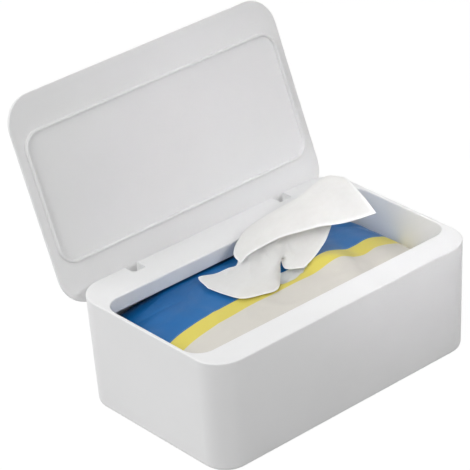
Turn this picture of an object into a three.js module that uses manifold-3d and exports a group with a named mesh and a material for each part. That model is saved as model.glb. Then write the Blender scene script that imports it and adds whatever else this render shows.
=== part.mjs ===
import * as THREE from 'three';
import { mergeVertices } from 'three/addons/utils/BufferGeometryUtils.js';
import Module from 'manifold-3d';

// A wipes box with a hinged lid, open at its stop, holding a film pack with one wipe pulled out.
// Millimetres, +Z up, +X along the long side, the hinge at +Y.
// The origin is under the middle of the tub, on the surface that the box stands on.

// Tub
const boxLength = 190;
const boxWidth = 118;
const boxHeight = 68;
const boxCornerRadius = 17.25;
const wallDraft = 2.1; // how far a wall leans in from the rim to the foot
const wall = 2.2;
const floorThickness = 2.2;
const footRadius = 2.9;
const cavityFootRadius = 2.4;

// Top frame
const frameThickness = 2;
const frontLedge = 18;
const backLedge = 22.4;
const openingRadius = 11;
const lipThickness = 1.8;
const lipDepth = 8.5; // from the rim's top
const rimEdgeRadius = 0.7;
const filletShare = 0.45; // the most of a thickness that its rounded edge may take

// Hinge
const hingeInset = 2.97; // from the back wall's outer face at the rim to the axis
const hingeDrop = 7.42; // from the rim's top to the axis
const hingeSpacing = 108.8; // between the middles of the two arms
const openAngle = 111.5;
const armWidth = 8;
const armThickness = 4.8;
const pinRadius = 1.5;
const pinLength = 2;
const notchDepth = 5.05; // from the axis forward to the notch's front wall
const housingWall = 3;
const housingFloor = 2;

// Lid
const lidLength = 192;
const lidWidth = 119.5;
const lidThickness = 2.2;
const lidCornerRadius = 17.5;
const lidOuterEdge = 1;
const lidInnerEdge = 0.5;
const lidBackReach = 3.07; // from the axis back to the closed lid's edge
const ribWidth = 1.6;
const ribHeight = 2.3;
const ribTipRadius = 0.7;

// Film pack
const packBelowRim = 8;
const seamBelowTop = 29; // from the pack's top to its side seams, where it is widest
const endFullness = 3.5; // how square the pack stays towards its ends
const sideFullness = 3; // the same towards its front and back
const baseFullness = 5; // the same under it
const packCornerRadius = 19; // seen from above
const crumpleHeight = 2.6; // the swelling of the film beside the slot
const crumpleReach = 11;
const crumpleX = 36;
const crumpleForward = 8; // from the middle of the opening
const sealShare = 0.33; // height of the flat end, as a share of the pack's

// Pulled wipe
const wipeRise = 31; // from the top of the pack to the highest fold
const wipeThickness = 0.8;

// Clearances
const seatGap = 0.3; // between pieces that are set beside or on each other
const lidGap = 0.5; // between the rim and the closed lid
const ribFrontGap = 0.5;
const ribBackGap = 0.75; // the rib swings back a little as it lifts
const ribSideGap = 1.9;
const packGap = 0.9;
const wipeGap = 0.6; // between the pack and the wipe's lowest edge

// Mesh steps
const smallestRadius = 0.2;
const cornerSteps = 12;
const filletSteps = 3;
const pinSteps = 20;
const packSteps = 26;
const sectionSteps = 36;
const wipeAcross = 32;
const wipeAlong = 32;

// The wipe's surface: rows from its front edge, over the stem and the ridge, to its free edge.
// A row runs from left to right. Each point is in hundredths of the opening's half length,
// of its half width and of the wipe's rise.
const wipeShares = [
  [
    [-38, 49, 2], [-36, 18, 2], [-32, -8, 2], [-21, -20, 2], [-11, -25, 2],
    [-1, -4, 2], [12, 29, 8], [9, 11, 1], [17, -7, 1],
  ],
  [
    [-34, 80, 3], [-31, 42, 6], [-28, 12, 10], [-19, 2, 12], [-9, 1, 12],
    [2, 11, 14], [13, 24, 15], [18, 13, 8], [27, -1, 5],
  ],
  [
    [-25, 68, 4], [-21, 47, 8], [-17, 31, 12], [-10, 25, 14], [-2, 24, 15],
    [7, 26, 18], [17, 32, 21], [25, 24, 17], [34, 3, 12],
  ],
  [
    [-17, 64, 6], [-13, 52, 9], [-7, 46, 12], [-1, 43, 15], [5, 40, 19],
    [13, 39, 24], [22, 40, 28], [31, 30, 29], [40, 5, 23],
  ],
  [
    [-11, 61, 8], [-7, 59, 12], [-2, 58, 17], [4, 56, 24], [10, 52, 30],
    [17, 46, 36], [27, 43, 41], [37, 33, 43], [49, 16, 36],
  ],
  [
    [-5, 72, 19], [0, 73, 28], [7, 72, 36], [15, 71, 44], [23, 66, 52],
    [32, 62, 59], [42, 58, 66], [52, 50, 72], [63, 30, 69],
  ],
  [
    [0, 85, 32], [8, 89, 44], [16, 85, 54], [24, 79, 63], [33, 71, 72],
    [42, 66, 79], [52, 65, 88], [65, 64, 97], [70, 41, 98],
  ],
  [
    [-10, 68, 25], [0, 73, 38], [7, 64, 49], [15, 55, 59], [23, 48, 66],
    [33, 41, 74], [44, 34, 81], [56, 21, 88], [68, -1, 86],
  ],
  [
    [-10, 54, 15], [-5, 50, 27], [1, 43, 37], [7, 36, 44], [14, 29, 49],
    [22, 17, 54], [34, 5, 57], [48, -19, 61], [67, -33, 64],
  ],
];

// Sizes that follow from the ones above
const rim = { halfX: boxLength / 2, back: boxWidth / 2, front: -boxWidth / 2 };
const seatZ = boxHeight - frameThickness;
const lipBottom = boxHeight - lipDepth;
const opening = {
  halfX: rim.halfX - draftAt(seatZ) - wall,
  back: rim.back - backLedge,
  front: rim.front + frontLedge,
};
const openingMiddle = (opening.back + opening.front) / 2;
const openingHalfWidth = (opening.back - opening.front) / 2;
const packTop = boxHeight - packBelowRim;
const sealLevel = packTop - seamBelowTop;
const rimFillet = Math.min(rimEdgeRadius, wall * filletShare, frameThickness * filletShare);
const hingeY = rim.back - hingeInset;
const hingeZ = boxHeight - hingeDrop;
const armPlaces = [-hingeSpacing / 2, hingeSpacing / 2];
const notchHalfWidth = armWidth / 2 + seatGap;
const notchFront = hingeY - notchDepth;
const housingHalfWidth = notchHalfWidth + housingWall;
const openRadians = THREE.MathUtils.degToRad(openAngle);
const wallReach = hingeInset - draftAt(hingeZ);
const armDip = (wallReach * -Math.cos(openRadians) + armThickness / 2) / Math.sin(openRadians);
const stopZ = hingeZ - armDip - seatGap; // the sill that the open arm rests on
const housingBottom = stopZ - housingFloor;
const lidInnerZ = boxHeight + lidGap;
const lid = { halfX: lidLength / 2, back: hingeY + lidBackReach, front: hingeY + lidBackReach - lidWidth };

const wasm = await Module();
wasm.setup();

// How far the tub's outer face has leaned in at a height
function draftAt(z) {
  return wallDraft * (1 - z / boxHeight);
}

// A ring of points round a rectangle with rounded corners, counter-clockwise seen from above
function ring(area, radius, { inset, z }) {
  const cornerRadius = Math.max(radius - inset, smallestRadius);
  const right = area.halfX - inset - cornerRadius;
  const back = area.back - inset - cornerRadius;
  const front = area.front + inset + cornerRadius;
  const centres = [[right, back], [-right, back], [-right, front], [right, front]];
  return centres.flatMap(([x, y], quarter) => Array.from({ length: cornerSteps + 1 }, (_, step) => {
    const angle = (quarter + step / cornerSteps) * Math.PI / 2;
    return new THREE.Vector3(x + cornerRadius * Math.cos(angle), y + cornerRadius * Math.sin(angle), z);
  }));
}

// Skins a run of rings into a closed body, with a cap on each end or joined end to end
function loft(rings, joined = false) {
  const count = rings[0].length;
  const positions = rings.flat().flatMap((point) => point.toArray());
  const index = [];
  const spans = joined ? rings.length : rings.length - 1;
  for (let level = 0; level < spans; level += 1) {
    const above = (level + 1) % rings.length;
    for (let side = 0; side < count; side += 1) {
      const next = (side + 1) % count;
      index.push(level * count + side, level * count + next, above * count + next);
      index.push(level * count + side, above * count + next, above * count + side);
    }
  }
  const addCap = (level, faceUp) => {
    const centre = rings[level].reduce((sum, point) => sum.add(point), new THREE.Vector3());
    const middle = positions.length / 3;
    positions.push(...centre.divideScalar(count).toArray());
    for (let side = 0; side < count; side += 1) {
      const corners = [level * count + side, level * count + (side + 1) % count];
      index.push(middle, ...(faceUp ? corners : corners.reverse()));
    }
  };
  if (!joined) {
    addCap(0, false);
    addCap(rings.length - 1, true);
  }
  const geometry = new THREE.BufferGeometry();
  geometry.setAttribute('position', new THREE.Float32BufferAttribute(positions, 3));
  geometry.setIndex(index);
  return geometry;
}

// Levels of a rounded edge below a side face, from its flat underside up
function lowerEdge(radius, bottom, insetAt) {
  return Array.from({ length: filletSteps + 1 }, (_, step) => {
    const angle = step / filletSteps * Math.PI / 2;
    const z = bottom + radius * (1 - Math.cos(angle));
    return { z, inset: insetAt(z) + radius * (1 - Math.sin(angle)) };
  });
}

// Levels of a rounded edge above a side face, up to its flat top
function upperEdge(radius, top, insetAt) {
  return Array.from({ length: filletSteps + 1 }, (_, step) => {
    const angle = step / filletSteps * Math.PI / 2;
    const z = top - radius * (1 - Math.sin(angle));
    return { z, inset: insetAt(z) + radius * (1 - Math.cos(angle)) };
  });
}

function toSolid(geometry) {
  const bare = geometry.clone();
  bare.deleteAttribute('normal');
  bare.deleteAttribute('uv');
  const merged = mergeVertices(bare, 1e-5);
  return new wasm.Manifold(new wasm.Mesh({
    numProp: 3,
    vertProperties: new Float32Array(merged.attributes.position.array),
    triVerts: new Uint32Array(merged.index.array),
  }));
}

function toGeometry(solid) {
  const result = solid.getMesh();
  const geometry = new THREE.BufferGeometry();
  geometry.setAttribute('position', new THREE.BufferAttribute(result.vertProperties, 3));
  geometry.setIndex(new THREE.BufferAttribute(result.triVerts, 1));
  return geometry;
}

// A block between its lowest and highest corners
function block(low, high) {
  const size = high.map((value, axis) => value - low[axis]);
  const geometry = new THREE.BoxGeometry(...size);
  geometry.translate(...size.map((value, axis) => low[axis] + value / 2));
  return toSolid(geometry);
}

// A round bar along X on the hinge axis
function axleBar(radius, length, x) {
  const geometry = new THREE.CylinderGeometry(radius, radius, length, pinSteps);
  geometry.rotateZ(Math.PI / 2);
  geometry.translate(x, hingeY, hingeZ);
  return toSolid(geometry);
}

// The tub's outer shape without its rounded foot, up to the rim's level
function outerShape() {
  const levels = [0, boxHeight].map((z) => ({ z, inset: draftAt(z) }));
  return toSolid(loft(levels.map((level) => ring(rim, boxCornerRadius, level))));
}

function makeTub() {
  const cavityInset = (z) => draftAt(z) + wall;
  const levels = [
    ...lowerEdge(footRadius, 0, draftAt),
    { z: seatZ, inset: draftAt(seatZ) },
    { z: seatZ, inset: cavityInset(seatZ) },
    ...lowerEdge(cavityFootRadius, floorThickness, cavityInset).reverse(),
  ];
  let tub = toSolid(loft(levels.map((level) => ring(rim, boxCornerRadius, level))));
  armPlaces.forEach((x) => {
    const reach = housingHalfWidth + seatGap;
    const low = [x - reach, notchFront - housingWall - seatGap, housingBottom - seatGap];
    tub = tub.subtract(block(low, [x + reach, rim.back + wall, boxHeight]));
  });
  return toGeometry(tub);
}

// The rim plate, between the tub's outer face and the opening
function framePlate() {
  const flush = () => 0;
  const outer = [{ z: seatZ, inset: draftAt(seatZ) }, ...upperEdge(rimFillet, boxHeight, draftAt)];
  const inner = upperEdge(rimFillet, boxHeight, flush).map(({ z, inset }) => ({ z, inset: -inset }));
  return toSolid(loft([
    ...outer.map((level) => ring(rim, boxCornerRadius, level)),
    ...inner.reverse().map((level) => ring(opening, openingRadius, level)),
    ring(opening, openingRadius, { z: seatZ, inset: 0 }),
  ], true));
}

// The lip that hangs from the opening's front and back edges and stops short of the end walls
function frameLip() {
  const plateMiddle = boxHeight - frameThickness / 2;
  const levels = [
    { z: lipBottom, inset: -lipThickness },
    { z: plateMiddle, inset: -lipThickness },
    { z: plateMiddle, inset: 0 },
    { z: lipBottom, inset: 0 },
  ];
  const lip = toSolid(loft(levels.map((level) => ring(opening, openingRadius, level)), true));
  const reach = rim.halfX - draftAt(lipBottom) - wall - seatGap;
  return lip.intersect(block([-reach, rim.front, lipBottom - wall], [reach, rim.back, boxHeight]));
}

function makeTopFrame() {
  let frame = framePlate().add(frameLip());
  const outside = outerShape();
  armPlaces.forEach((x) => {
    const low = [x - housingHalfWidth, notchFront - housingWall, housingBottom];
    const high = [x + housingHalfWidth, rim.back + wall, boxHeight - frameThickness / 2];
    frame = frame.add(block(low, high).intersect(outside));
  });
  armPlaces.forEach((x) => {
    const low = [x - notchHalfWidth, notchFront, stopZ];
    const socketLength = armWidth + 2 * (pinLength + seatGap);
    frame = frame.subtract(block(low, [x + notchHalfWidth, rim.back + wall, boxHeight + wall]));
    frame = frame.subtract(axleBar(pinRadius + seatGap, socketLength, x));
  });
  return toGeometry(frame);
}

// The rib that drops inside the opening when the lid is closed
function lidRib() {
  const area = {
    halfX: opening.halfX - ribSideGap,
    back: opening.back - ribBackGap,
    front: opening.front + ribFrontGap,
  };
  const tip = lidInnerZ - ribHeight;
  const root = lidInnerZ + lidThickness / 2;
  const tipRadius = Math.min(ribTipRadius, ribWidth * filletShare);
  const outer = lowerEdge(tipRadius, tip, () => 0);
  const inner = outer.map(({ z, inset }) => ({ z, inset: ribWidth - inset }));
  const levels = [{ z: root, inset: ribWidth }, ...inner.reverse(), ...outer, { z: root, inset: 0 }];
  return toSolid(loft(levels.map((level) => ring(area, openingRadius - ribFrontGap, level)), true));
}

function makeLid() {
  const flush = () => 0;
  const levels = [
    ...lowerEdge(lidInnerEdge, lidInnerZ, flush),
    ...upperEdge(lidOuterEdge, lidInnerZ + lidThickness, flush),
  ];
  let body = toSolid(loft(levels.map((level) => ring(lid, lidCornerRadius, level)))).add(lidRib());
  armPlaces.forEach((x) => {
    const low = [x - armWidth / 2, hingeY - armThickness / 2, hingeZ];
    const high = [x + armWidth / 2, hingeY + armThickness / 2, lidInnerZ + lidThickness / 2];
    body = body.add(block(low, high)).add(axleBar(armThickness / 2, armWidth, x));
    body = body.add(axleBar(pinRadius, armWidth + 2 * pinLength, x));
  });
  return toGeometry(body).translate(0, -hingeY, -hingeZ);
}

// A power of a sine or cosine that keeps its sign, for the pack's squared-off roundings
function squared(value, fullness) {
  return Math.sign(value) * Math.abs(value) ** (2 / fullness);
}

function makePack() {
  const halfX = rim.halfX - draftAt(sealLevel) - wall - packGap;
  const halfY = rim.back - draftAt(sealLevel) - wall - packGap;
  const packBottom = floorThickness + seatGap;
  const crumpleY = openingMiddle - crumpleForward;
  const rings = [];
  for (let step = 0; step <= packSteps; step += 1) {
    const along = Math.sin((step / packSteps - 0.5) * Math.PI);
    const height = Math.max((1 - Math.abs(along) ** endFullness) ** (1 / endFullness), sealShare);
    const intoCorner = Math.max(Math.abs(along) * halfX - halfX + packCornerRadius, 0);
    const width = halfY - packCornerRadius + Math.sqrt(packCornerRadius ** 2 - intoCorner ** 2);
    const points = [];
    for (let turn = 0; turn < sectionSteps; turn += 1) {
      const angle = turn / sectionSteps * Math.PI * 2;
      const up = Math.sin(angle) > 0;
      const fullness = up ? sideFullness : baseFullness;
      const x = along * halfX;
      const y = -squared(Math.cos(angle), fullness) * width;
      const reach = up ? packTop - sealLevel : sealLevel - packBottom;
      const off = Math.hypot(x - crumpleX, y - crumpleY) / crumpleReach;
      const swell = up ? crumpleHeight * Math.exp(-off * off) : 0;
      const z = sealLevel + squared(Math.sin(angle), fullness) * reach * height + swell;
      points.push(new THREE.Vector3(x, y, z));
    }
    rings.push(points);
  }
  return loft(rings.reverse());
}

// A smooth surface through the wipe's rows
function wipeSurface() {
  const bottom = packTop + wipeGap + wipeThickness / 2;
  const through = (points) => new THREE.CatmullRomCurve3(points, false, 'catmullrom', 0.5);
  const rows = wipeShares.map((row) => through(row.map(([x, y, rise]) => new THREE.Vector3(
    x / 100 * opening.halfX,
    openingMiddle + y / 100 * openingHalfWidth,
    bottom + rise / 100 * wipeRise,
  ))));
  return (across, along) => through(rows.map((row) => row.getPoint(across))).getPoint(along);
}

function makeWipe() {
  const surface = wipeSurface();
  const middle = [];
  for (let row = 0; row <= wipeAlong; row += 1) {
    for (let column = 0; column <= wipeAcross; column += 1) {
      middle.push(surface(column / wipeAcross, row / wipeAlong));
    }
  }
  const width = wipeAcross + 1;
  const at = (row, column) => middle[row * width + column];
  const normals = middle.map((_, place) => {
    const row = Math.floor(place / width);
    const column = place % width;
    const across = at(row, Math.min(column + 1, wipeAcross)).clone().sub(at(row, Math.max(column - 1, 0)));
    const along = at(Math.min(row + 1, wipeAlong), column).clone().sub(at(Math.max(row - 1, 0), column));
    return across.cross(along).normalize();
  });
  const positions = [1, -1].flatMap((side) => middle.flatMap((point, place) => (
    point.clone().addScaledVector(normals[place], side * wipeThickness / 2).toArray()
  )));
  const under = middle.length;
  const index = [];
  const addQuad = (a, b, c, d) => index.push(a, b, c, a, c, d);
  for (let row = 0; row < wipeAlong; row += 1) {
    for (let column = 0; column < wipeAcross; column += 1) {
      const a = row * width + column;
      addQuad(a, a + 1, a + width + 1, a + width);
      addQuad(under + a, under + a + width, under + a + width + 1, under + a + 1);
    }
  }
  const edge = [];
  for (let column = 0; column < wipeAcross; column += 1) edge.push(column);
  for (let row = 0; row < wipeAlong; row += 1) edge.push(row * width + wipeAcross);
  for (let column = wipeAcross; column > 0; column -= 1) edge.push(wipeAlong * width + column);
  for (let row = wipeAlong; row > 0; row -= 1) edge.push(row * width);
  edge.forEach((a, step) => {
    const b = edge[(step + 1) % edge.length];
    addQuad(a, under + a, under + b, b);
  });
  const geometry = new THREE.BufferGeometry();
  geometry.setAttribute('position', new THREE.Float32BufferAttribute(positions, 3));
  geometry.setIndex(index);
  return geometry;
}

function piece(name, geometry, material) {
  geometry.computeVertexNormals();
  const mesh = new THREE.Mesh(geometry, material);
  mesh.name = name;
  return mesh;
}

const tubPlastic = new THREE.MeshStandardMaterial({ color: 0xe9e9ea, roughness: 0.45, metalness: 0 });
const framePlastic = new THREE.MeshStandardMaterial({ color: 0xececed, roughness: 0.42, metalness: 0 });
const lidPlastic = new THREE.MeshStandardMaterial({ color: 0xe6e6e7, roughness: 0.5, metalness: 0 });
const packFilm = new THREE.MeshStandardMaterial({ color: 0x2b69ac, roughness: 0.3, metalness: 0 });
const wipeCloth = new THREE.MeshStandardMaterial({ color: 0xf2f1ee, roughness: 0.95, metalness: 0 });

const hinge = new THREE.Group();
hinge.position.set(0, hingeY, hingeZ);
hinge.rotation.x = -openRadians;
hinge.add(piece('lid', makeLid(), lidPlastic));

const wipesBox = new THREE.Group();
wipesBox.add(
  piece('tub', makeTub(), tubPlastic),
  piece('top_frame', makeTopFrame(), framePlastic),
  hinge,
  piece('wipes_pack', makePack(), packFilm),
  piece('pulled_wipe', makeWipe(), wipeCloth),
);

export default wipesBox;
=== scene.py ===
import math

import bpy
import numpy as np
from mathutils import Matrix, Vector, noise


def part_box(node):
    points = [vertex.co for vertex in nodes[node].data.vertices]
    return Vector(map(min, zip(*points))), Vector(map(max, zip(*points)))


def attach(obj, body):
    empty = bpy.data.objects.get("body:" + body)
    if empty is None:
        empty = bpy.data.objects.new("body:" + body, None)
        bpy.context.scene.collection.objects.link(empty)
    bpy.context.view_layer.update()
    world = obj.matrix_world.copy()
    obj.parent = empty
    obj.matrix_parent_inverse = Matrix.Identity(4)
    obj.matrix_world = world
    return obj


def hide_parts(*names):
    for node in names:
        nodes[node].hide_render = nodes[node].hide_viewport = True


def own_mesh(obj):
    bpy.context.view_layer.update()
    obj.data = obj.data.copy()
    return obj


# A white wipes box with its lid open, a printed film pack inside and one wipe pulled out
# Metres, +Z up, +X along the long side, the hinge at +Y

mm = 0.001

print("frame: loading")
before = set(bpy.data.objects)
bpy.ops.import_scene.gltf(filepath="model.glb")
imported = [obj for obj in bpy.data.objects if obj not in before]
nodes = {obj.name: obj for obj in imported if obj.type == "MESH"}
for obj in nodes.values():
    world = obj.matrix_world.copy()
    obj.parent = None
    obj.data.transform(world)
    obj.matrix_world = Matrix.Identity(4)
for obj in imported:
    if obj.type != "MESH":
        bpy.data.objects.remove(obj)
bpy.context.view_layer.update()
scene = bpy.context.scene
rimLow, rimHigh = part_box("top_frame")
packLow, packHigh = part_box("wipes_pack")


# helpers for node trees

def socketOf(group, name, kind, default=None, output=False):
    # one named input or output on a node group
    side = "OUTPUT" if output else "INPUT"
    made = group.interface.new_socket(name=name, in_out=side, socket_type=kind)
    if default is not None:
        made.default_value = default
    return made


def put(tree, kind, **values):
    # adds a node; keys are attributes of the node
    made = tree.nodes.new(kind)
    for key, value in values.items():
        setattr(made, key, value)
    return made


def setInputs(node, **values):
    # plain values for a node's named inputs; an underscore stands for a space
    for key, value in values.items():
        node.inputs[key.replace("_", " ")].default_value = value


def wire(tree, *pairs):
    for start, end in pairs:
        tree.links.new(start, end)


def feed(tree, target, value):
    # links a socket to the target, or sets a plain value on it
    if hasattr(value, "is_linked"):
        tree.links.new(value, target)
    else:
        target.default_value = value


def mathNode(tree, operation, a, b=0.0, clamp=False):
    made = put(tree, "ShaderNodeMath", operation=operation, use_clamp=clamp)
    feed(tree, made.inputs[0], a)
    feed(tree, made.inputs[1], b)
    return made.outputs[0]


def fadeNode(tree, value, low, high):
    # 0 below low, 1 above high, smooth between
    made = put(tree, "ShaderNodeMapRange", interpolation_type="SMOOTHSTEP")
    setInputs(made, From_Min=low, From_Max=high)
    tree.links.new(value, made.inputs["Value"])
    return made.outputs["Result"]


def rangeNode(tree, value, low, high):
    # turns 0 to 1 into low to high
    made = put(tree, "ShaderNodeMapRange")
    setInputs(made, To_Min=low, To_Max=high)
    tree.links.new(value, made.inputs["Value"])
    return made.outputs["Result"]


def mixColor(tree, factor, a, b):
    made = put(tree, "ShaderNodeMix", data_type="RGBA")
    used = {socket.name: socket for socket in made.inputs if socket.enabled}
    feed(tree, used["Factor"], factor)
    feed(tree, used["A"], a)
    feed(tree, used["B"], b)
    return next(socket for socket in made.outputs if socket.enabled)


def bumpNode(tree, height, strength, distance):
    made = put(tree, "ShaderNodeBump")
    setInputs(made, Strength=strength, Distance=distance)
    tree.links.new(height, made.inputs["Height"])
    return made.outputs["Normal"]


def newMaterial(name):
    # an empty material, its tree and the socket that takes its shader
    material = bpy.data.materials.new(name)
    material.use_nodes = True
    tree = material.node_tree
    tree.nodes.clear()
    output = put(tree, "ShaderNodeOutputMaterial")
    return material, tree, output.inputs["Surface"]


# shared effects

def makeGrainGroup():
    # fine grain of a moulded or spun surface: a height, and a slow mottle for colour and roughness
    # both sizes are in millimetres
    group = bpy.data.node_groups.new("fineGrain", "ShaderNodeTree")
    socketOf(group, "grainSize", "NodeSocketFloat", 1.0)
    socketOf(group, "mottleSize", "NodeSocketFloat", 20.0)
    socketOf(group, "stretch", "NodeSocketFloat", 1.0)
    socketOf(group, "height", "NodeSocketFloat", output=True)
    socketOf(group, "mottle", "NodeSocketFloat", output=True)
    inside = put(group, "NodeGroupInput")
    outside = put(group, "NodeGroupOutput")
    place = put(group, "ShaderNodeTexCoord")
    combine = put(group, "ShaderNodeCombineXYZ")
    setInputs(combine, X=1.0, Z=1.0)
    stretched = put(group, "ShaderNodeVectorMath", operation="MULTIPLY")
    wire(
        group,
        (inside.outputs["stretch"], combine.inputs["Y"]),
        (place.outputs["Object"], stretched.inputs[0]),
        (combine.outputs[0], stretched.inputs[1]),
    )
    for size, detail, result in (("grainSize", 3.0, "height"), ("mottleSize", 2.0, "mottle")):
        perMetre = mathNode(group, "DIVIDE", 1 / mm, inside.outputs[size])
        texture = put(group, "ShaderNodeTexNoise")
        setInputs(texture, Detail=detail)
        wire(
            group,
            (stretched.outputs[0], texture.inputs["Vector"]),
            (perMetre, texture.inputs["Scale"]),
            (texture.outputs["Fac"], outside.inputs[result]),
        )
    return group


grainGroup = makeGrainGroup()


def grainNode(tree, look):
    made = put(tree, "ShaderNodeGroup", node_tree=grainGroup)
    setInputs(made, grainSize=look["grain"], mottleSize=look["mottle"], stretch=look.get("stretch", 1.0))
    return made


# moulded plastic

boxPlastic = {
    "color": (0.86, 0.86, 0.863, 1), "dark": (0.848, 0.848, 0.851, 1),
    "roughness": 0.4, "roughnessVaries": 0.04, "ior": 1.49, "specular": 0.4,
    "grain": 0.5, "mottle": 35.0, "bump": 0.12, "bumpHeight": 0.05 * mm,
}
lidPlastic = {
    **boxPlastic,
    "color": (0.845, 0.845, 0.848, 1), "dark": (0.833, 0.833, 0.836, 1), "roughness": 0.44,
}
smoothing = {"join": 0.002 * mm, "sharpAngle": 38}


def makePlastic(name, look):
    material, tree, surface = newMaterial(name)
    shader = put(tree, "ShaderNodeBsdfPrincipled")
    grain = grainNode(tree, look)
    tone = fadeNode(tree, grain.outputs["mottle"], 0.35, 0.65)
    smoothest = look["roughness"] - look["roughnessVaries"]
    roughest = look["roughness"] + look["roughnessVaries"]
    wire(
        tree,
        (mixColor(tree, tone, look["dark"], look["color"]), shader.inputs["Base Color"]),
        (rangeNode(tree, grain.outputs["mottle"], smoothest, roughest), shader.inputs["Roughness"]),
        (bumpNode(tree, grain.outputs["height"], look["bump"], look["bumpHeight"]), shader.inputs["Normal"]),
        (shader.outputs[0], surface),
    )
    setInputs(shader, IOR=look["ior"], Specular_IOR_Level=look["specular"])
    return material


def makeSmoother():
    # geometry nodes: joins the facets' corners and smooths all but the sharp edges
    group = bpy.data.node_groups.new("smoothFacets", "GeometryNodeTree")
    socketOf(group, "Geometry", "NodeSocketGeometry")
    socketOf(group, "Geometry", "NodeSocketGeometry", output=True)
    inside = put(group, "NodeGroupInput")
    outside = put(group, "NodeGroupOutput")
    merge = put(group, "GeometryNodeMergeByDistance")
    setInputs(merge, Distance=smoothing["join"])
    faces = put(group, "GeometryNodeSetShadeSmooth", domain="FACE")
    setInputs(faces, Shade_Smooth=True)
    edges = put(group, "GeometryNodeSetShadeSmooth", domain="EDGE")
    setInputs(edges, Shade_Smooth=False)
    angle = put(group, "GeometryNodeInputMeshEdgeAngle")
    sharp = put(group, "FunctionNodeCompare", data_type="FLOAT", operation="GREATER_THAN")
    sharp.inputs["B"].default_value = math.radians(smoothing["sharpAngle"])
    wire(
        group,
        (inside.outputs[0], merge.inputs["Geometry"]),
        (merge.outputs[0], faces.inputs["Geometry"]),
        (faces.outputs[0], edges.inputs["Geometry"]),
        (edges.outputs[0], outside.inputs[0]),
        (angle.outputs["Unsigned Angle"], sharp.inputs["A"]),
        (sharp.outputs[0], edges.inputs["Selection"]),
    )
    return group


def finishPlastic():
    smoother = makeSmoother()
    white = makePlastic("boxPlastic", boxPlastic)
    whiteLid = makePlastic("lidPlastic", lidPlastic)
    for name, material in (("tub", white), ("top_frame", white), ("lid", whiteLid)):
        node = nodes[name]
        node.data.materials.clear()
        node.data.materials.append(material)
        node.modifiers.new("smoothFacets", "NODES").node_group = smoother
        weighted = node.modifiers.new("flatFacesFirst", "WEIGHTED_NORMAL")
        weighted.keep_sharp = True
        weighted.weight = 100


print("plastic: tub, frame and lid")
finishPlastic()

# the film pack

pack = {
    "stepsAlong": 250, "stepsRound": 300,
    "endFullness": 3.5, "sideFullness": 3.0, "baseFullness": 5.0,
    "cornerRadius": 19 * mm, "seamBelowTop": 29 * mm, "topBelowRim": 8 * mm, "sealShare": 0.33,
    "softPerMetre": 55, "softHeight": 0.35 * mm, "ridgesPerMetre": 38, "ridgeHeight": 0.4 * mm,
}
# soft swells of the film: middle x, y, reach along x, reach along y, height, all in millimetres
swells = [
    (33, -7, 11, 12, 3.4),
    (54, -6, 8, 30, -2.2),
    (49, -27, 9, 9, -2.4),
    (-30, -24, 30, 9, 0.9),
    (70, 12, 14, 16, 0.8),
    (-62, 10, 16, 14, 0.7),
    (-52, 39, 45, 8, 1.4),
]
# creases in the film: from x, y to x, y, width and height, all in millimetres
creases = [
    (38, -27, 60, -30, 3.0, -0.9),
    (47, -10, 41, -26, 3.5, -0.7),
    (-52, 22, -86, 30, 3.0, -0.8),
    (-60, 12, -88, 6, 4.0, 0.6),
    (66, 20, 88, 12, 3.0, -0.7),
    (58, 4, 84, -6, 3.0, 0.5),
    (-70, -14, -88, -22, 2.5, -0.6),
    (24, -14, 34, -22, 2.5, 0.4),
    (-20, -16, -48, -28, 5.0, 0.4),
    (-28, 24, -50, 10, 4.0, 0.5),
]
# how far a crease wanders off its line, in millimetres, and how often
creaseWander = {"width": 0.8, "turns": 7}
slot = {"x": 4 * mm, "y": -0.8 * mm, "halfLength": 19 * mm, "halfWidth": 5.4 * mm, "depth": 3.2 * mm}
film = {
    "blue": (0.006, 0.15, 0.43, 1), "deepBlue": (0.004, 0.11, 0.33, 1),
    "yellow": (0.70, 0.605, 0.11, 1), "white": (0.645, 0.62, 0.57, 1), "inSlot": (0.72, 0.74, 0.74, 1),
    "blueEdge": -1.6 * mm, "whiteEdge": -12 * mm, "edgeBlur": 0.15 * mm,
    "roughness": 0.34, "slotRoughness": 0.85, "specular": 0.38,
    "grain": 2.2, "mottle": 60.0, "bump": 0.18, "bumpHeight": 0.3 * mm,
}


def squared(value, fullness):
    # a sine or cosine bent towards a rounded rectangle
    return np.sign(value) * np.abs(value) ** (2 / fullness)


def slotReach(x, y):
    # 0 on the slot's middle line, 1 at its edge
    across = slot["halfWidth"] * np.clip(1 - ((x - slot["x"]) / slot["halfLength"]) ** 2, 0.0001, 1)
    return np.abs(y - slot["y"]) / across


def filmHeight(x, y):
    # how far the crumpled film stands above the plain pillow
    total = np.zeros_like(x)
    for midX, midY, reachX, reachY, height in swells:
        far = ((x / mm - midX) / reachX) ** 2 + ((y / mm - midY) / reachY) ** 2
        total += height * np.exp(-far)
    for x0, y0, x1, y1, width, height in creases:
        start = np.array((x0, y0), float)
        run = np.array((x1, y1), float) - start
        length = np.hypot(*run)
        run /= length
        dx, dy = x / mm - start[0], y / mm - start[1]
        along = (dx * run[0] + dy * run[1]) / length
        wander = creaseWander["width"] * np.sin(along * creaseWander["turns"])
        off = np.abs(dx * run[1] - dy * run[0]) + wander
        taper = np.clip(np.minimum(along, 1 - along) * 4 + 0.6, 0, 1)
        total += height * np.exp(-np.abs(off) / width) * taper
    return total * mm


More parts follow.
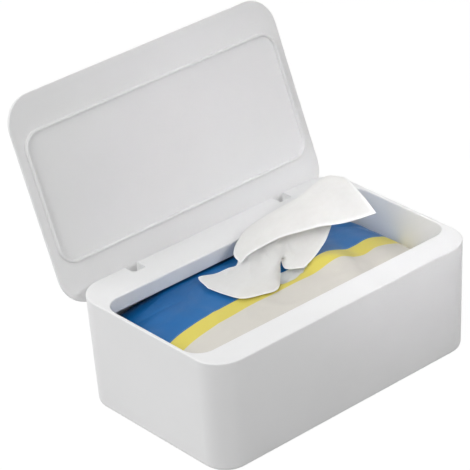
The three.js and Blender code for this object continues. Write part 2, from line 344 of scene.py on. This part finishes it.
def makePackPoints():
    # rings round the pillow, from one end to the other
    halfX = packHigh.x
    halfY = packHigh.y
    top = rimHigh.z - pack["topBelowRim"]
    seam = top - pack["seamBelowTop"]
    along = np.sin((np.arange(pack["stepsAlong"] + 1) / pack["stepsAlong"] - 0.5) * math.pi)
    turn = np.arange(pack["stepsRound"]) / pack["stepsRound"] * 2 * math.pi
    ends = pack["endFullness"]
    height = np.maximum((1 - np.abs(along) ** ends) ** (1 / ends), pack["sealShare"])
    radius = pack["cornerRadius"]
    intoCorner = np.maximum(np.abs(along) * halfX - halfX + radius, 0)
    width = halfY - radius + np.sqrt(radius ** 2 - intoCorner ** 2)
    up = np.sin(turn) > 0
    fullness = np.where(up, pack["sideFullness"], pack["baseFullness"])
    y = -squared(np.cos(turn), fullness)[None, :] * width[:, None]
    x = np.repeat((along * halfX)[:, None], len(turn), axis=1)
    reach = np.where(up, top - seam, seam - packLow.z)
    z = seam + (squared(np.sin(turn), fullness) * reach)[None, :] * height[:, None]
    openness = np.clip(np.sin(turn) * 2.5, 0, 1)[None, :]  # 1 over the top, 0 at the seam and below it
    z = z + filmHeight(x, y) * openness
    dip = np.clip(1.25 - slotReach(x, y), 0, 0.5) * 2  # 1 in the slot, fading over its lips
    z = z - slot["depth"] * dip ** 0.7 * openness
    return addFilmWrinkles(np.stack((x, y, z), axis=-1), openness)


def addFilmWrinkles(points, openness):
    # small random wrinkles, the same in each run
    flat = points.reshape(-1, 3)
    lift = np.empty(len(flat))
    for place, (x, y, z) in enumerate(flat):
        spot = Vector((x, y * 1.4, z))
        soft = noise.noise(spot * pack["softPerMetre"])
        ridge = 1 - abs(noise.noise(spot * pack["ridgesPerMetre"] + Vector((7, 3, 1)))) * 4
        lift[place] = pack["softHeight"] * soft + pack["ridgeHeight"] * max(ridge, 0)
    flat[:, 2] += lift * np.repeat(openness, points.shape[0], axis=0).reshape(-1)
    return points


def meshFromGrid(name, points, closedRound=True):
    # a mesh through rows of points; closedRound joins each row into a ring and caps the ends
    rows, columns = points.shape[:2]
    faces = []
    for row in range(rows - 1):
        for column in range(columns if closedRound else columns - 1):
            following = (column + 1) % columns
            a, b = row * columns + column, row * columns + following
            faces.append((a, a + columns, b + columns, b))
    if closedRound:
        faces.append(tuple(range(columns)))
        faces.append(tuple(reversed(range((rows - 1) * columns, rows * columns))))
    data = bpy.data.meshes.new(name)
    data.from_pydata(points.reshape(-1, 3).tolist(), [], faces)
    data.validate()
    data.shade_smooth()
    made = bpy.data.objects.new(name, data)
    scene.collection.objects.link(made)
    return made


def slotMask(tree, axes):
    # 1 inside the slot on the top of the pack, 0 elsewhere
    fromMiddle = mathNode(tree, "SUBTRACT", axes.outputs["X"], slot["x"])
    alongSlot = mathNode(tree, "DIVIDE", fromMiddle, slot["halfLength"])
    room = mathNode(tree, "SUBTRACT", 1.0, mathNode(tree, "MULTIPLY", alongSlot, alongSlot), clamp=True)
    across = mathNode(tree, "ABSOLUTE", mathNode(tree, "SUBTRACT", axes.outputs["Y"], slot["y"]))
    overEdge = mathNode(tree, "SUBTRACT", mathNode(tree, "MULTIPLY", room, slot["halfWidth"]), across)
    onTop = fadeNode(tree, axes.outputs["Z"], packHigh.z - 20 * mm, packHigh.z - 16 * mm)
    return mathNode(tree, "MULTIPLY", fadeNode(tree, overEdge, -0.1 * mm, 0.1 * mm), onTop)


def makeFilmMaterial(look):
    material, tree, surface = newMaterial("packFilm")
    shader = put(tree, "ShaderNodeBsdfPrincipled")
    place = put(tree, "ShaderNodeTexCoord")
    axes = put(tree, "ShaderNodeSeparateXYZ")
    wire(tree, (place.outputs["Object"], axes.inputs[0]))
    grain = grainNode(tree, look)
    blue = mixColor(tree, fadeNode(tree, grain.outputs["mottle"], 0.3, 0.7), look["deepBlue"], look["blue"])
    blur = look["edgeBlur"]
    isBlue = fadeNode(tree, axes.outputs["Y"], look["blueEdge"] - blur, look["blueEdge"] + blur)
    isStripe = fadeNode(tree, axes.outputs["Y"], look["whiteEdge"] - blur, look["whiteEdge"] + blur)
    printed = mixColor(tree, isBlue, mixColor(tree, isStripe, look["white"], look["yellow"]), blue)
    inSlot = slotMask(tree, axes)
    wire(
        tree,
        (mixColor(tree, inSlot, printed, look["inSlot"]), shader.inputs["Base Color"]),
        (rangeNode(tree, inSlot, look["roughness"], look["slotRoughness"]), shader.inputs["Roughness"]),
        (bumpNode(tree, grain.outputs["height"], look["bump"], look["bumpHeight"]), shader.inputs["Normal"]),
        (shader.outputs[0], surface),
    )
    setInputs(shader, Specular_IOR_Level=look["specular"])
    return material


def buildPack():
    piece = meshFromGrid("filmPack", makePackPoints())
    piece.data.materials.append(makeFilmMaterial(film))
    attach(piece, "base")
    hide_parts("wipes_pack")


print("film pack")
buildPack()

# the pulled wipe

# the mouth of the box, in which the wipe's net is measured
mouth = {
    "halfX": rimHigh.x - 2.26 * mm,
    "back": rimHigh.y - 22.4 * mm,
    "front": rimLow.y + 18 * mm,
}
# the wipe narrows to a waist at the slot, so its flat area is less than its flat width times length
wipe = {
    "steps": 150, "rise": 31 * mm, "gap": 1.0 * mm, "thickness": 0.36 * mm,
    "flat": (93 * mm, 103 * mm), "area": 0.00521, "hingeDrop": 7.42 * mm, "closedShare": 0.2,
    # the last count on the next line sets how many rows in from the border the painted edge highlight
    # reaches
    "waviness": 0.45 * mm, "wavesPerMetre": 70, "paintedHighlightSteps": 3,
}
# rows from the wipe's front edge, over the stem and the ridge, to its free edge, left to right
# hundredths of the mouth's half length, of its half width and of the wipe's rise
wipeShares = [
    [
        (-38, 49, 2), (-36, 18, 2), (-32, -8, 2), (-21, -20, 2), (-11, -25, 2),
        (-1, -4, 2), (12, 29, 8), (9, 11, 1), (17, -7, 1),
    ],
    [
        (-34, 80, 3), (-31, 42, 6), (-28, 12, 10), (-19, 2, 12), (-9, 1, 12),
        (2, 11, 14), (13, 24, 15), (18, 13, 8), (27, -1, 5),
    ],
    [
        (-25, 68, 4), (-21, 47, 8), (-17, 31, 12), (-10, 25, 14), (-2, 24, 15),
        (7, 26, 18), (17, 32, 21), (25, 24, 17), (34, 3, 12),
    ],
    [
        (-17, 64, 6), (-13, 52, 9), (-7, 46, 12), (-1, 43, 15), (5, 40, 19),
        (13, 39, 24), (22, 40, 28), (31, 30, 29), (40, 5, 23),
    ],
    [
        (-11, 61, 8), (-7, 59, 12), (-2, 58, 17), (4, 56, 24), (10, 52, 30),
        (17, 46, 36), (27, 43, 41), (37, 33, 43), (49, 16, 36),
    ],
    [
        (-5, 72, 19), (0, 73, 28), (7, 72, 36), (15, 71, 44), (23, 66, 52),
        (32, 62, 59), (42, 58, 66), (52, 50, 72), (63, 30, 69),
    ],
    [
        (0, 85, 32), (8, 89, 44), (16, 85, 54), (24, 79, 63), (33, 71, 72),
        (42, 66, 79), (52, 65, 88), (65, 64, 97), (70, 41, 98),
    ],
    [
        (-10, 68, 25), (0, 73, 38), (7, 64, 49), (15, 55, 59), (23, 48, 66),
        (33, 41, 74), (44, 34, 81), (56, 21, 88), (68, -1, 86),
    ],
    [
        (-10, 54, 15), (-5, 50, 27), (1, 43, 37), (7, 36, 44), (14, 29, 49),
        (22, 17, 54), (34, 5, 57), (48, -19, 61), (67, -33, 64),
    ],
]
# soft folds: middle and reach along the wipe, height in millimetres, waves across, waves along, start
folds = [
    (0.42, 0.16, 0.65, 3.1, 0.7, 0.15),
    (0.86, 0.14, 0.45, 1.7, -0.6, 0.3),
]
# sharper creases by the slot, given in the same way, with half waves
sharpFolds = [
    (0.3, 0.13, 0.55, 4.3, 1.6, 0.2),
]
# the pure white edge colour below is a painted highlight along the wipe's borders, not a colour of the cloth
cloth = {
    "color": (0.895, 0.892, 0.882, 1), "thin": (0.872, 0.866, 0.852, 1), "edge": (1.0, 1.0, 1.0, 1),
    "through": (0.9, 0.895, 0.88, 1), "throughShare": 0.3,
    "roughness": 0.9, "specular": 0.2, "sheen": 0.1,
    "grain": 0.55, "mottle": 5.0, "stretch": 1.8, "bump": 0.35, "bumpHeight": 0.12 * mm,
}


def splineThrough(points, steps):
    # Catmull-Rom curve through points, which lie along the first axis of the array
    points = np.asarray(points, float)
    first, last = 2 * points[:1] - points[1:2], 2 * points[-1:] - points[-2:-1]
    held = np.concatenate((first, points, last))
    made = []
    for t in np.linspace(0, len(points) - 1, steps):
        place = min(int(t), len(points) - 2)
        s = t - place
        a, b, c, d = held[place:place + 4]
        squareTerm = (2 * a - 5 * b + 4 * c - d) * s ** 2
        cubeTerm = (3 * b - a - 3 * c + d) * s ** 3
        made.append(0.5 * (2 * b + (c - a) * s + squareTerm + cubeTerm))
    return np.array(made)


def foldSoftly(points):
    # moves the cloth along its normals: soft folds, creases and a slow random waviness
    steps = wipe["steps"]
    along, across = np.meshgrid(np.linspace(0, 1, steps), np.linspace(0, 1, steps), indexing="ij")
    normals = np.cross(np.gradient(points, axis=1), np.gradient(points, axis=0))
    normals /= np.linalg.norm(normals, axis=2, keepdims=True)
    depth = np.zeros_like(along)
    for middle, reach, height, wavesAcross, wavesAlong, start in folds:
        wave = np.sin(2 * math.pi * (wavesAcross * across + wavesAlong * along + start))
        depth += height * mm * np.exp(-((along - middle) / reach) ** 2) * wave
    for middle, reach, height, wavesAcross, wavesAlong, start in sharpFolds:
        wave = np.abs(np.sin(math.pi * (wavesAcross * across + wavesAlong * along + start)))
        depth += height * mm * np.exp(-((along - middle) / reach) ** 2) * (1 - wave) ** 2
    wavy = [noise.noise(Vector(point) * wipe["wavesPerMetre"]) for point in points.reshape(-1, 3)]
    freeness = np.clip(along * 4, 0.3, 1)
    depth += wipe["waviness"] * np.array(wavy).reshape(steps, steps) * freeness
    return points + normals * depth[..., None]


def makeWipePoints():
    shares = np.array(wipeShares, float) / 100
    middleY = (mouth["back"] + mouth["front"]) / 2
    halfY = (mouth["back"] - mouth["front"]) / 2
    net = np.empty_like(shares)
    net[..., 0] = shares[..., 0] * mouth["halfX"]
    net[..., 1] = middleY + shares[..., 1] * halfY
    net[..., 2] = rimHigh.z - pack["topBelowRim"] + wipe["gap"] + shares[..., 2] * wipe["rise"]
    rows = splineThrough(net, wipe["steps"])
    return foldSoftly(splineThrough(rows.transpose(1, 0, 2), wipe["steps"]).transpose(1, 0, 2))


def makeWipeMaterial(look):
    material, tree, surface = newMaterial("wipeCloth")
    shader = put(tree, "ShaderNodeBsdfPrincipled")
    fibre = grainNode(tree, look)
    tone = fadeNode(tree, fibre.outputs["mottle"], 0.3, 0.7)
    plain = mixColor(tree, tone, look["thin"], look["color"])
    # painted highlight: near the wipe's borders the colour turns white and less light passes through the
    # cloth, so the edges look lit
    paintedEdgeHighlight = put(tree, "ShaderNodeAttribute", attribute_name="paintedEdgeHighlight")
    through = put(tree, "ShaderNodeBsdfTranslucent")
    setInputs(through, Color=look["through"])
    awayFromPaintedHighlight = mathNode(tree, "SUBTRACT", 1.0, paintedEdgeHighlight.outputs["Fac"])
    mix = put(tree, "ShaderNodeMixShader")
    wire(
        tree,
        (mixColor(tree, paintedEdgeHighlight.outputs["Fac"], plain, look["edge"]), shader.inputs["Base Color"]),
        (bumpNode(tree, fibre.outputs["height"], look["bump"], look["bumpHeight"]), shader.inputs["Normal"]),
        (mathNode(tree, "MULTIPLY", awayFromPaintedHighlight, look["throughShare"]), mix.inputs[0]),
        (shader.outputs[0], mix.inputs[1]),
        (through.outputs[0], mix.inputs[2]),
        (mix.outputs[0], surface),
    )
    setInputs(shader, Roughness=look["roughness"], Specular_IOR_Level=look["specular"])
    setInputs(shader, Sheen_Weight=look["sheen"])
    return material


def buildWipe():
    piece = meshFromGrid("pulledWipe", makeWipePoints(), closedRound=False)
    steps = wipe["steps"]
    rows, columns = np.divmod(np.arange(steps * steps), steps)
    nearest = np.minimum(np.minimum(rows, steps - 1 - rows), np.minimum(columns, steps - 1 - columns))
    # mask for the painted edge highlight: 1 on the border, fading to 0 a few rows in
    paintedEdgeHighlight = piece.data.attributes.new("paintedEdgeHighlight", "FLOAT", "POINT")
    paintedEdgeHighlight.data.foreach_set("value", np.clip(1 - nearest / wipe["paintedHighlightSteps"], 0, 1).astype(np.float32))
    thick = piece.modifiers.new("thickness", "SOLIDIFY")
    thick.thickness = wipe["thickness"]
    thick.offset = 0
    piece.data.materials.append(makeWipeMaterial(cloth))
    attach(piece, "base")
    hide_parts("pulled_wipe")
    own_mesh(piece)


print("pulled wipe")
buildWipe()

# camera, floor and lights

view = {
    "azimuth": -39.94, "elevation": 29.0, "roll": -3.61, "distance": 1.4385,
    "target": (-0.0278, 0, 0.0980), "lens": 206.56,
}
ground = {"halfSize": 6.0, "color": (0.6, 0.6, 0.6, 1), "brightness": 1.09, "brightShare": 0.88}
roomLight = 0.2
# size is the width and height; spread is the beam's angle in degrees, less with a grid over the lamp
lamps = {
    "keyLeft": {"place": (-1.2, -0.35, 1.15), "aim": (0, 0, 0.05), "size": (1.2, 1.2), "power": 9.45},
    "topRight": {"place": (0.7, -0.1, 1.5), "aim": (0, 0, 0.05), "size": (1.0, 1.0), "power": 1.25},
    "backLeft": {"place": (-0.9, 0.9, 1.2), "aim": (0, 0, 0.05), "size": (1.2, 1.2), "power": 12.5},
    "nearFront": {
        "place": (0.12, -0.42, 0.5), "aim": (0.02, 0.06, 0.08), "size": (0.25, 0.25), "power": 1.04,
    },
    "endGrid": {
        "place": (-0.25, -0.55, 0.45), "aim": (0.08, 0, 0.06), "size": (0.1, 0.1), "power": 0.0096,
        "spread": 12,
    },
    "lidGrid": {
        "place": (0.25, -1.1, 0.9), "aim": (0.03, 0.08, 0.11), "size": (0.12, 0.12), "power": 0.0097,
        "spread": 9,
    },
    "rimGrid": {
        "place": (0, -0.7, 0.6), "aim": (0, -0.055, 0.115), "size": (0.3, 0.04), "power": 0.0044,
        "spread": 9,
    },
}


def makeCamera():
    azimuth, elevation, roll = (math.radians(view[key]) for key in ("azimuth", "elevation", "roll"))
    flat = math.cos(elevation)
    back = Vector((math.sin(azimuth) * flat, -math.cos(azimuth) * flat, math.sin(elevation)))
    right = (-back).cross(Vector((0, 0, 1))).normalized()
    up = back.cross(right)
    rolledRight = right * math.cos(roll) + up * math.sin(roll)
    rolledUp = up * math.cos(roll) - right * math.sin(roll)
    camera = bpy.data.objects.new("camera", bpy.data.cameras.new("camera"))
    scene.collection.objects.link(camera)
    camera.data.lens = view["lens"]
    camera.data.sensor_width = 36
    camera.data.clip_start = 0.05
    camera.data.clip_end = 30
    place = Matrix.Translation(Vector(view["target"]) + back * view["distance"])
    camera.matrix_world = place @ Matrix((rolledRight, rolledUp, back)).transposed().to_4x4()
    scene.camera = camera


def seenDirectly(tree):
    # 1 for the camera, for mirrors and through glass
    rays = put(tree, "ShaderNodeLightPath")
    mirrored = mathNode(tree, "MAXIMUM", rays.outputs["Is Glossy Ray"], rays.outputs["Is Transmission Ray"])
    return mathNode(tree, "MAXIMUM", rays.outputs["Is Camera Ray"], mirrored)


def makeFloor():
    half = ground["halfSize"]
    data = bpy.data.meshes.new("floor")
    corners = [(-half, -half, 0), (half, -half, 0), (half, half, 0), (-half, half, 0)]
    data.from_pydata(corners, [], [(0, 1, 2, 3)])
    floor = bpy.data.objects.new("floor", data)
    scene.collection.objects.link(floor)
    material, tree, surface = newMaterial("paleFloor")
    plain = put(tree, "ShaderNodeBsdfDiffuse")
    setInputs(plain, Color=ground["color"])
    bright = put(tree, "ShaderNodeEmission")
    setInputs(bright, Strength=ground["brightness"])
    mix = put(tree, "ShaderNodeMixShader")
    wire(
        tree,
        (mathNode(tree, "MULTIPLY", seenDirectly(tree), ground["brightShare"]), mix.inputs[0]),
        (plain.outputs[0], mix.inputs[1]),
        (bright.outputs[0], mix.inputs[2]),
        (mix.outputs[0], surface),
    )
    data.materials.append(material)


def makeWorld():
    # dim for the object, white where the backdrop is seen
    world = bpy.data.worlds.new("softRoom")
    scene.world = world
    world.use_nodes = True
    tree = world.node_tree
    tree.nodes.clear()
    room = put(tree, "ShaderNodeBackground")
    setInputs(room, Color=(1, 1, 1, 1), Strength=roomLight)
    backdrop = put(tree, "ShaderNodeBackground")
    setInputs(backdrop, Color=(1, 1, 1, 1), Strength=1.0)
    mix = put(tree, "ShaderNodeMixShader")
    output = put(tree, "ShaderNodeOutputWorld")
    wire(
        tree,
        (seenDirectly(tree), mix.inputs[0]),
        (room.outputs[0], mix.inputs[1]),
        (backdrop.outputs[0], mix.inputs[2]),
        (mix.outputs[0], output.inputs["Surface"]),
    )


def makeLamp(name, look):
    data = bpy.data.lights.new(name, "AREA")
    width, height = look["size"]
    data.shape = "RECTANGLE" if width != height else "DISK"
    data.size, data.size_y = width, height
    data.energy = look["power"]
    data.spread = math.radians(look.get("spread", 180))
    lamp = bpy.data.objects.new(name, data)
    lamp.location = look["place"]
    beam = Vector(look["aim"]) - Vector(look["place"])
    lamp.rotation_euler = beam.to_track_quat("-Z", "Y").to_euler()
    scene.collection.objects.link(lamp)


print("camera, floor and lights")
scene.view_settings.view_transform = "Standard"
makeCamera()
makeFloor()
makeWorld()
for name, look in lamps.items():
    makeLamp(name, look)
